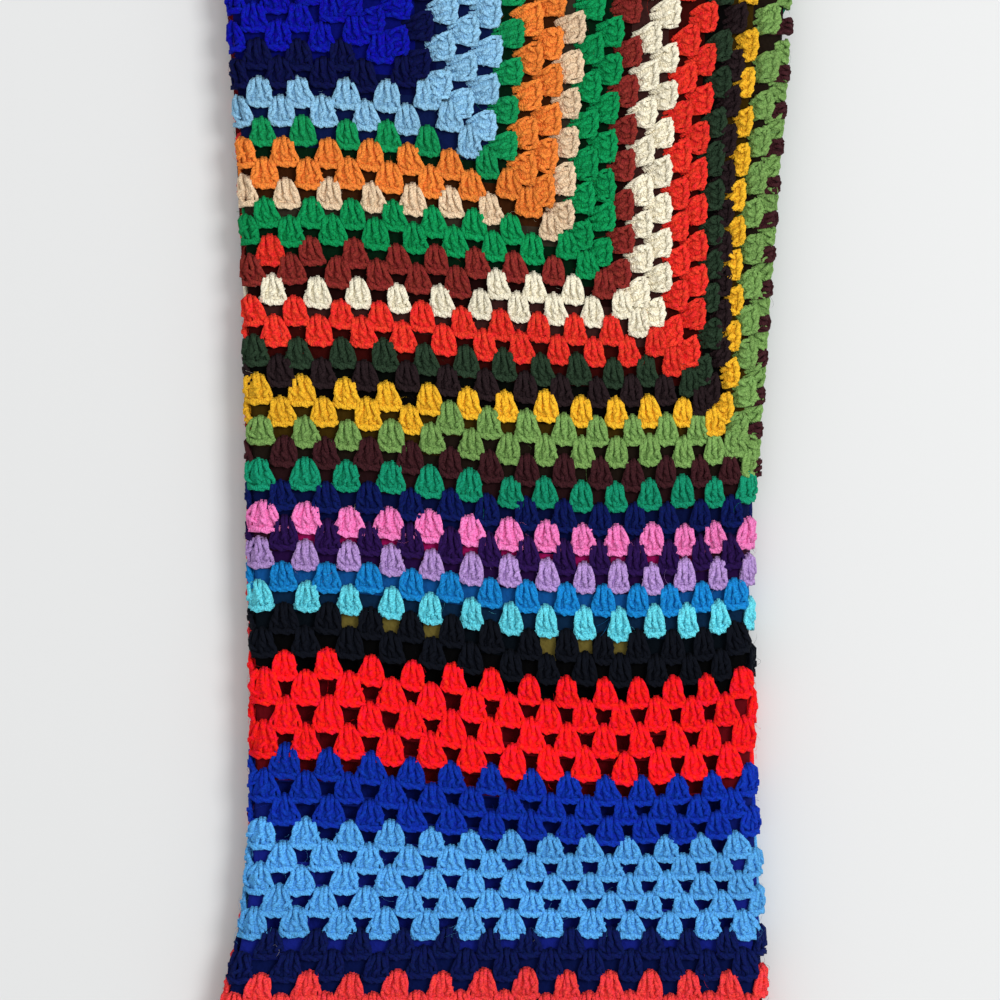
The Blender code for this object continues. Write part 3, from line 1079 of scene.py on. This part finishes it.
    def strands(self, parts: MeshParts, clusters: Clusters, lanes: Array, half_width: Array, tone: Array,
                wide: Array, sides: int = 4) -> None:
        """Sweeps strands along lanes that all the clusters share, and adds them.

        How open a strand is to the light is a share for its crest, the middle plus the swing times the sine
        of the way round, times a share that grows with its lift, from a least one to 1. It is painted shade
        on the strand's colour.

        Args:
            parts: where the tubes go.
            clusters: the clusters.
            lanes: each lane's places across, shares and lifts, (clusters, lanes, steps, 3).
            half_width: half width and height at each step, (steps, 2).
            tone: each cluster's tone.
            wide: each cluster's width.
            sides: corners of a ring.
        """
        path, facing = self.laid(clusters, lanes[..., 0], lanes[..., 1], lanes[..., 2], wide)
        many, steps = path.shape[1:3]
        rings = sweep(path.reshape(-1, steps, 3), facing.reshape(-1, steps, 3), half_width[:, 0],
                      half_width[:, 1], sides)
        middle, swing = self.crest_openness
        crest = middle + swing * np.sin(math.tau * (np.arange(sides) + 0.5) / sides)
        raised = (lanes[..., 2] / self.lift - self.openness_from) * self.openness_slope + self.openness_start
        openness = np.clip(raised, self.openness_least, 1.0).reshape(-1, steps)[:, :, None] * crest
        parts.add_tubes(rings, np.repeat(clusters.yarn, many), np.repeat(tone, many), openness)

    def post_lanes(self, clusters: Clusters, plies: int, phase: Array) -> Array:
        """Lanes of the three posts: the fan's line, and round it each ply half a turn from the other.

        Args:
            clusters: the clusters.
            plies: one or two plies a post.
            phase: where each cluster's twist starts, as a share of a turn.

        Returns:
            Lanes, (clusters, posts times plies, steps, 3).
        """
        share = np.array(self.post_steps)
        post = np.array([-1.0, 0.0, 1.0])[:, None, None]
        ply = np.arange(plies)[None, :, None] / 2
        turn = phase[:, None, None, None] + ply + self.post_turn * post + self.twist_turns * share
        round_post, up_post = np.cos(math.tau * turn), np.sin(math.tau * turn)
        apart = self.ply_apart * (plies > 1)
        narrow, wide = self.ply_spread
        fanned = (post[..., 0] * self.fan(clusters, share))[:, :, None, :]
        across = fanned + apart * round_post * (narrow + (wide - narrow) * share)
        lift = self.lift + np.array(self.post_lifts_mm) * MM + self.ply_lift * up_post * (plies > 1)
        shares = share + self.dome * np.abs(post) * (1 - share) ** 2
        lanes = np.stack([across, np.broadcast_to(shares, across.shape), lift], axis=-1)
        return lanes.reshape(len(clusters), -1, len(share), 3)

    def wrap_lanes(self, clusters: Clusters, phase: Array) -> Array:
        """Lanes of the loops wrapped over each post.

        Each is a short slanting line across its post. Its lift is the crown less the drop times the squared
        step, so that it is highest in its middle, and its place on the post wanders by a cosine.

        Args:
            clusters: the clusters.
            phase: each cluster's phase, as a share of a turn.

        Returns:
            Lanes, (clusters, posts, steps, 3).
        """
        step = np.linspace(-1, 1, len(self.wrap_taper))
        post = np.array([-1.0, 0.0, 1.0])[:, None]
        slant = np.where(phase[:, None, None] < 0.5, 1.0, -1.0)
        wander = self.wrap_wander * np.cos(math.tau * phase[:, None, None] + self.wrap_turn * post)
        fanned = post * self.fan(clusters, np.array([self.wrap_fan_at])) * self.wrap_inward
        lane = (fanned + self.wrap_slant * step * slant, self.wrap_middle + wander + self.wrap_reach * step,
                self.lift + self.wrap_crown - self.wrap_drop * step**2)
        shape = (len(phase), len(post), len(step))
        return np.stack([np.broadcast_to(v, shape) for v in lane], axis=-1)

    def braid_lanes(self, phase: Array) -> Array:
        """Lanes of the braided edge.

        Two strands wind round a line across the cluster, half a turn from each other. The line bows outward
        and drops at its ends: its share is the middle less the bow times the squared step, and its lift is
        the crown less the drop times the step to the fourth.

        Args:
            phase: each cluster's phase, as a share of a turn.

        Returns:
            Lanes, (clusters, 2, steps, 3).
        """
        step = np.linspace(-1, 1, len(self.braid_taper))
        ply = np.array([0.0, 0.5])[:, None]
        turn = math.tau * (phase[:, None, None] * self.braid_phase + ply + self.braid_turns * (step + 1) / 2)
        across = np.broadcast_to(self.braid_reach * step, turn.shape)
        share = self.braid_middle - self.braid_bow * step**2 + self.braid_swing * np.cos(turn)
        lift = self.lift + self.braid_crown - self.braid_drop * step**4 + self.braid_heave * np.sin(turn)
        return np.stack([across, share, lift], axis=-1)

    def pads(self, parts: MeshParts, clusters: Clusters, tone: Array, wide: Array,
             height: float = 1.0) -> None:
        """The clusters' bodies: flat sections with six sides, along each cluster from foot to braid.

        A corner lies the fan's half width, a little spread, times the cosine of its turn across, and the
        half height times the sine up.

        Args:
            parts: where the tubes go.
            clusters: the clusters.
            tone: each cluster's tone.
            wide: each cluster's width.
            height: how high the bodies stand, as a share.
        """
        turn = math.tau * np.arange(self.pad_sides) / self.pad_sides
        spread = self.fan(clusters, np.array(self.pad_steps))[:, 0, :] + np.array(self.pad_spreads)
        across = spread[:, :, None] * np.cos(turn)
        lift = height * np.array(self.pad_half_heights_mm)[:, None] * np.sin(turn) * MM
        share = np.array(self.pad_steps)[:, None]
        places = (np.broadcast_to(v, across.shape) for v in (across, share, lift))
        rings, _ = self.laid(clusters, *places, wide)
        # Painted shade: the body is lighter on top and darker underneath
        middle, swing = self.pad_openness
        parts.add_tubes(rings, clusters.yarn, tone, middle + swing * np.sin(turn))

    def work(self, parts: MeshParts, clusters: Clusters, detail: Detail) -> None:
        """Works the clusters and adds them.

        A cluster's key is its round, column and place along, weighed and summed. Its tone is a sum of sines
        of the key, and its phase the part over of the key times the golden share.

        Args:
            parts: where the tubes go.
            clusters: the clusters.
            detail: how finely they are worked out.
        """
        if not len(clusters):
            return
        by_round, by_column, by_place = self.key_steps
        by_spot = (clusters.column * by_column + clusters.along * by_place).astype(int)
        key = clusters.rounds * by_round + by_spot + self.key_start
        tone = sum(share * np.sin(key * often) for often, share in self.tone_waves)
        phase = np.mod(key * self.phase_step, 1.0)
        wide = np.array([yarn.bulk for yarn in YARNS])[clusters.yarn]
        if detail is Detail.PAD:
            self.pads(parts, clusters, tone, wide, self.hidden_height)
            return
        self.pads(parts, clusters, tone, wide)
        plies = 2 if detail is Detail.FULL else 1
        size = 1.0 if plies == 2 else self.lone_ply_size
        ply = np.array([self.ply_half_width, self.ply_half_height]) * size
        lanes = self.post_lanes(clusters, plies, phase)
        self.strands(parts, clusters, lanes, np.outer(self.post_taper, ply), tone, wide)
        if detail is Detail.FULL:
            wrap = np.outer(self.wrap_taper, np.full(2, self.wrap_half_width))
            self.strands(parts, clusters, self.wrap_lanes(clusters, phase), wrap, tone + self.wrap_tone, wide)
        braid = np.outer(self.braid_taper, np.full(2, self.braid_half_width))
        self.strands(parts, clusters, self.braid_lanes(phase), braid, tone + self.braid_tone, wide)


# ---------------------------------------------------------------------------------------------------
# The pieces
# ---------------------------------------------------------------------------------------------------


@dataclass(frozen=True)
class RoundGroup:
    """Neighbouring rounds that make one piece."""

    name: str
    first_round: int
    last_round: int


GROUPS = (
    RoundGroup("blue_middle_rounds", 1, 10),
    RoundGroup("light_blue_to_orange_rounds", 11, 15),
    RoundGroup("tan_to_maroon_rounds", 16, 19),
    RoundGroup("cream_and_coral_rounds", 20, 23),
    RoundGroup("dark_and_mustard_rounds", 24, 29),
    RoundGroup("teal_to_aqua_rounds", 30, 36),
    RoundGroup("black_and_scarlet_rounds", 37, 42),
    RoundGroup("deep_blue_and_sky_rounds", 43, 50),
    RoundGroup("border_rounds", 51, 56),
)


@dataclass
class CrochetedRounds:
    """The stitch clusters of the whole blanket, as one piece for each group of rounds.

    The uppermost layer and its turn round the right-hand fold are worked in full, the open edge of the
    square plainly, and what lies underneath as bodies alone, as far as it shows from the side.
    """

    strip: FoldedStrip
    stitch: ClusterStitch
    materials: list[bpy.types.Material]
    turn_under: float = 1.5
    last_on_fold: int = 29
    border_depth: int = 3

    def pieces(self) -> list[bpy.types.Object]:
        """Works each group's clusters, those that show finely and the others plainly.

        Returns:
            The pieces.
        """
        square = Clusters.of_square()
        *_, last, _ = self.strip.read(square.along)
        on_fold = ~square.at_end & (square.rounds <= self.last_on_fold)
        shows = (square.column >= 0) & ((square.column <= last + self.turn_under) | on_fold)
        open_edge = (square.rounds >= ROUNDS) & ~shows
        under = ~shows & ~open_edge & ((square.column > 0) | (square.rounds >= ROUNDS - self.border_depth))
        made = []
        for group in GROUPS:
            inside = (square.rounds >= group.first_round) & (square.rounds <= group.last_round)
            parts = MeshParts()
            self.stitch.work(parts, square.chosen(inside & shows), Detail.FULL)
            self.stitch.work(parts, square.chosen(inside & open_edge), Detail.PLAIN)
            self.stitch.work(parts, square.chosen(inside & under), Detail.PAD)
            made.append(parts.build(group.name, self.materials))
        return made


@dataclass
class StrayFibres:
    """Loose hairs that stand off the yarn, over the top layer and closer together along its two folds.

    Past left and past right are the columns beyond the folds where hairs root, and bend is in radians. A
    hair on top is kept the more often, the hairier its yarn is, and a few hairs are pale.
    """

    strip: FoldedStrip
    materials: list[bpy.types.Material]
    on_top: int = 1700
    on_each_fold: int = 330
    past_left: tuple[float, float] = (0.3, 0.8)
    past_right: tuple[float, float] = (0.5, 1.3)
    end_round: float = 56.5
    column_width: float = 10.5 * MM
    radius: float = 0.075 * MM
    tip_share: float = 0.55
    lengths: tuple[float, float] = (2.5 * MM, 11.0 * MM)
    bend: float = 1.6
    root_lift: float = 2.6 * MM
    least_rise: float = 0.3
    rise_on_fold: float = 0.55
    rise_on_top: float = 0.22
    arch: float = 0.7
    hairiest: float = 0.75
    pale_share: float = 0.02
    tone: float = 1.5
    steps: int = 5
    sides: int = 3
    seed: int = 23

    def piece(self) -> bpy.types.Object:
        """Scatters the hairs.

        Each runs from its root on a line that bends evenly, and lifts by its rise times its length times
        the sine of part of a half turn.

        Returns:
            The piece.
        """
        seeds = np.random.default_rng(self.seed)
        count = self.on_top + 2 * self.on_each_fold
        along = seeds.uniform(-self.end_round, self.end_round, count)
        *_, first, last, _ = self.strip.read(along)
        fold = np.repeat([0, -1, 1], [self.on_top, self.on_each_fold, self.on_each_fold])
        column = np.select([fold < 0, fold > 0], [first - seeds.uniform(*self.past_left, count),
                                                  last + seeds.uniform(*self.past_right, count)],
                           first + (last - first) * seeds.uniform(0, 1, count))
        ring = np.clip(np.ceil(np.maximum(np.abs(column), np.abs(along))), 1, ROUNDS).astype(int)
        yarn = yarn_of(ring, column, (np.abs(column) > np.abs(along)).astype(int), along)
        hair = np.array([y.hair for y in YARNS])[yarn]
        kept = (seeds.uniform(0, self.hairiest, count) < hair) | (fold != 0)
        yarn = np.where(seeds.uniform(0, 1, count) < self.pale_share, YARNS.index(CREAM), yarn)
        step = np.linspace(0, 1, self.steps)
        shortest, longest = self.lengths
        length = shortest + (longest - shortest) * seeds.uniform(0, 1, count) ** 2
        heading, bend = seeds.uniform(0, math.tau, count), seeds.normal(0, self.bend, count)
        angle = heading[:, None] + bend[:, None] * step
        stride = length[:, None] / (self.steps - 1)
        run_x = np.cumsum(np.cos(angle) * stride, axis=1) / self.column_width
        run_y = np.cumsum(np.sin(angle) * stride, axis=1) / self.column_width
        steep = np.where(fold != 0, self.rise_on_fold, self.rise_on_top)
        rise = seeds.uniform(self.least_rise, 1.0, count)[:, None] * steep[:, None]
        lift = self.root_lift + rise * length[:, None] * np.sin(np.pi * self.arch * step)
        path, facing = self.strip.place(column[:, None] + run_x, along[:, None] + run_y, lift)
        width = self.radius * np.linspace(1.0, self.tip_share, self.steps)
        rings = sweep(path[kept], facing[kept], width, width, self.sides)
        parts = MeshParts()
        parts.add_tubes(rings, yarn[kept], np.full(len(rings), self.tone), np.ones((1, 1, 1)))
        return parts.build("stray_fibres", self.materials)


@dataclass(frozen=True)
class LoopWebFinish:
    """The web's finish: each band's colour in painted shade, matt, with knobbly loops as bump."""

    name: str = "web_of_loops_in_shade"
    gloss: float = 0.08
    roughness: float = 0.95
    loop_scale: float = 420.0
    relief: float = 0.8 * MM
    strength: float = 0.8

    def material(self) -> bpy.types.Material:
        """The web's material. Its colour is the painted shade that the mesh carries, and its height the
        distance to the nearest loop.

        Returns:
            The material.
        """
        settings = {"Specular IOR Level": self.gloss, "Roughness": self.roughness}
        material = new_material(self.name, settings)
        nodes, links = material.node_tree.nodes, material.node_tree.links
        colour = nodes.new("ShaderNodeAttribute")
        colour.attribute_name = BAND_SHADE_PAINT
        where = nodes.new("ShaderNodeTexCoord")
        loops = nodes.new("ShaderNodeTexVoronoi")
        loops.inputs["Scale"].default_value = self.loop_scale
        links.new(where.outputs["Object"], loops.inputs["Vector"])
        links.new(colour.outputs["Color"], nodes["Principled BSDF"].inputs["Base Color"])
        add_bump(material, loops.outputs["Distance"], self.relief, self.strength)
        return material


@dataclass
class GroundCloth:
    """The thin web of chain and loop backs between the clusters, through all four layers of the fold.

    Its gaps lie at every second column, from gap end to gap start back from their round's outer line, in
    rounds. A cell is in a gap's column where its middle is within part of a column of it. The grid has even
    lines round the folds, each from a column to a column with so many lines, and coarse ones on the flat
    stretches between them. Its colour is painted shade: the darkness seen between the clusters, by band.
    """

    strip: FoldedStrip
    thickness: float = 1.2 * MM
    below_middle: float = 0.4 * MM
    gap_half_width: float = 0.42
    middle_within: float = 0.3
    gap_start: float = 0.94
    gap_end: float = 0.40
    first_open_round: int = 39
    last_open_round: int = 50
    first_open_column: int = 2
    last_open_column: int = 24
    folds: tuple[tuple[float, float, int], ...] = ((-28.5, -24.0, 10), (-0.05, 0.85, 6), (25.0, 31.5, 16))
    flats: tuple[tuple[float, float], ...] = ((-ROUNDS, -29.0), (-22.0, -1.0), (33.0, ROUNDS))
    coarse: float = 3.0
    # How dark the painted shade is for a yarn with no web colour, against the yarn's own colour
    shade: float = 0.036
    finish: LoopWebFinish = LoopWebFinish()

    def lines(self) -> tuple[Array, Array]:
        """The grid's columns and rounds: one line a round, and more at the folds and where gaps are left.

        Returns:
            The columns and the rounds of the grid's lines.
        """
        ticks = np.arange(self.first_open_column, self.last_open_column + 1)[:, None]
        fine = (ticks + np.array([-1, 1]) * self.gap_half_width).reshape(-1)
        columns = np.concatenate([*(np.linspace(*fold) for fold in self.folds),
                                  *(np.arange(*flat, self.coarse) for flat in self.flats), fine, [ROUNDS]])
        opened = np.arange(self.first_open_round, self.last_open_round + 1)[:, None]
        half = np.concatenate([np.arange(1.0, self.first_open_round),
                               (opened - np.array([self.gap_start, self.gap_end, 0.0])).reshape(-1),
                               np.arange(self.last_open_round + 1.0, ROUNDS + 1)])
        half = np.unique(np.round(half, 4))
        return np.unique(np.round(columns, 4)), np.concatenate([-half[::-1], [0.0], half])

    def gaps(self, column: Array, along: Array) -> BoolArray:
        """Which cells are gaps: in the open rounds, between two clusters and above the row before.

        Args:
            column: the columns of the cells' middles.
            along: their rounds, negative towards -Y.

        Returns:
            True for each cell that is left open.
        """
        ring, tick = np.ceil(np.abs(along)), np.round(column)
        back = ring - np.abs(along)
        open_rows = (ring >= self.first_open_round) & (ring <= self.last_open_round)
        open_columns = (tick >= self.first_open_column) & (tick <= self.last_open_column)
        between = (np.abs(column - tick) < self.middle_within) & (np.mod(tick + ring, 2) == 0)
        return open_rows & open_columns & between & (back > self.gap_end) & (back < self.gap_start)

    def colours(self, column: Array, along: Array) -> Array:
        """The cells' colours, as painted shade: the web of the round's yarn in shade, or a lower layer's yarn
        in shade where that is seen.

        Args:
            column: the columns of the cells' middles.
            along: their rounds, negative towards -Y.

        Returns:
            Linear colours with their alpha, (cells, 4).
        """
        ring = np.clip(np.ceil(np.maximum(np.abs(column), np.abs(along))) - 1, 1, ROUNDS).astype(int)
        yarn = yarn_of(ring, column, (np.abs(column) > np.abs(along)).astype(int), along)
        # Painted shade: each yarn's web colour, or its own colour darkened by the shade share
        shade = np.array([self.shade] * 3 + [1.0])
        colours = np.array([linear(y.web) if y.web else shade * linear(y.colour) for y in YARNS])[yarn]
        tick = np.round(column)
        for glimpse in GLIMPSES:
            seen = np.isin(tick, glimpse.columns) & (np.ceil(-along) == glimpse.round)
            colours[seen & (np.abs(column - tick) < self.middle_within)] = linear(glimpse.colour)
        return colours

    def piece(self) -> bpy.types.Object:
        """Lays the web, leaves its gaps open and gives it its thickness.

        Returns:
            The piece.
        """
        columns, rounds = self.lines()
        column, along = np.meshgrid(columns, rounds, indexing="xy")
        points, _ = self.strip.place(column, along, np.full_like(column, -self.below_middle))
        wide, tall = len(columns), len(rounds)
        row, cell = np.divmod(np.arange((tall - 1) * (wide - 1)), wide - 1)
        corner = row * wide + cell
        cells = np.stack([corner, corner + 1, corner + wide + 1, corner + wide], axis=-1)
        middle = ((columns[1:] + columns[:-1]) / 2)[cell], ((rounds[1:] + rounds[:-1]) / 2)[row]
        is_gap = self.gaps(*middle)
        kept, colours = cells[~is_gap], self.colours(*middle)[~is_gap]
        mesh = bpy.data.meshes.new("ground_cloth")
        mesh.from_pydata(points.reshape(-1, 3), [], kept)
        paint = mesh.attributes.new(BAND_SHADE_PAINT, "FLOAT_COLOR", "CORNER")
        paint.data.foreach_set("color", np.repeat(colours, 4, axis=0).astype(np.float32).reshape(-1))
        mesh.polygons.foreach_set("use_smooth", np.ones(len(kept), bool))
        mesh.update()
        mesh.materials.append(self.finish.material())
        piece = new_object("ground_cloth", mesh)
        thicken = piece.modifiers.new("web_thickness", "SOLIDIFY")
        thicken.thickness = self.thickness
        thicken.offset = 0.0
        return piece


@dataclass(frozen=True)
class FloorPaint:
    """The floor's finish: pale, even and matt."""

    name: str = "floor_paint"
    colour: tuple[int, int, int] = (218, 219, 219)
    roughness: float = 0.9
    gloss: float = 0.1

    def material(self) -> bpy.types.Material:
        """The floor's material."""
        return new_material(self.name, {"Base Color": linear(self.colour), "Roughness": self.roughness,
                                        "Specular IOR Level": self.gloss})


@dataclass
class StudioSet:
    """The pale floor, the soft light and the camera that looks straight down on the strip."""

    view_centre: tuple[float, float] = (-1.6 * MM, -323.4 * MM)
    view_width: float = 0.539
    blanket_top: float = 22.5 * MM
    camera_height: float = 1.7
    sensor: float = 36.0
    clip: tuple[float, float] = (0.05, 50.0)
    floor_size: float = 9.0
    paint: FloorPaint = FloorPaint()
    light_place: tuple[float, float, float] = (2.2, 0.45, 3.1)
    light_size: float = 1.5
    light_power: float = 84.0
    surround_strength: float = 0.76

    def floor(self) -> bpy.types.Object:
        """A plain pale floor, just under the blanket.

        Returns:
            The floor.
        """
        half = self.floor_size / 2
        mesh = bpy.data.meshes.new("studio_floor")
        corners = [(-half, -half, 0), (half, -half, 0), (half, half, 0), (-half, half, 0)]
        mesh.from_pydata(corners, [], [(0, 1, 2, 3)])
        mesh.materials.append(self.paint.material())
        floor = new_object("studio_floor", mesh)
        return floor

    def light(self) -> None:
        """A soft key from the right, turned to the middle of what shows, and an even pale surround."""
        data = bpy.data.lights.new("window_light", "AREA")
        data.energy, data.size, data.shape = self.light_power, self.light_size, "SQUARE"
        lamp = new_object("window_light", data)
        lamp.location = self.light_place
        aim = Vector((0.0, self.view_centre[1], 0.0)) - Vector(self.light_place)
        lamp.rotation_mode = "QUATERNION"
        lamp.rotation_quaternion = aim.to_track_quat("-Z", "Y")
        world = bpy.data.worlds.new("pale_surround")
        world.use_nodes = True
        background = world.node_tree.nodes["Background"]
        background.inputs["Color"].default_value = (1.0, 1.0, 1.0, 1.0)
        background.inputs["Strength"].default_value = self.surround_strength
        bpy.context.scene.world = world

    def camera(self) -> bpy.types.Object:
        """A long lens straight above: its lens is sensor times distance over the width it takes in.

        Returns:
            The camera.
        """
        data = bpy.data.cameras.new("view_from_above")
        data.sensor_width = self.sensor
        data.lens = self.sensor * (self.camera_height - self.blanket_top) / self.view_width
        data.clip_start, data.clip_end = self.clip
        camera = new_object("view_from_above", data)
        camera.location = (*self.view_centre, self.camera_height)
        bpy.context.scene.camera = camera
        bpy.context.scene.view_settings.view_transform = "Standard"
        return camera


def main() -> None:
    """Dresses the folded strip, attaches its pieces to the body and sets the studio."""
    logging.basicConfig(level=logging.INFO, format="%(name)s: %(message)s")
    strip = FoldedStrip()
    materials = [yarn.material() for yarn in YARNS]
    worked = CrochetedRounds(strip, ClusterStitch(strip), materials).pieces()
    worked.append(StrayFibres(strip, materials).piece())
    ground = GroundCloth(strip).piece()
    for piece in (ground, *worked):
        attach(piece, BODY)
        mesh = piece.data
        LOG.info("%s: %d faces, %d finishes", piece.name, len(mesh.polygons), len(mesh.materials))
    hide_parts(CAD_NODE)
    studio = StudioSet()
    floor = studio.floor()
    studio.light()
    studio.camera()


if __name__ == "__main__":
    main()
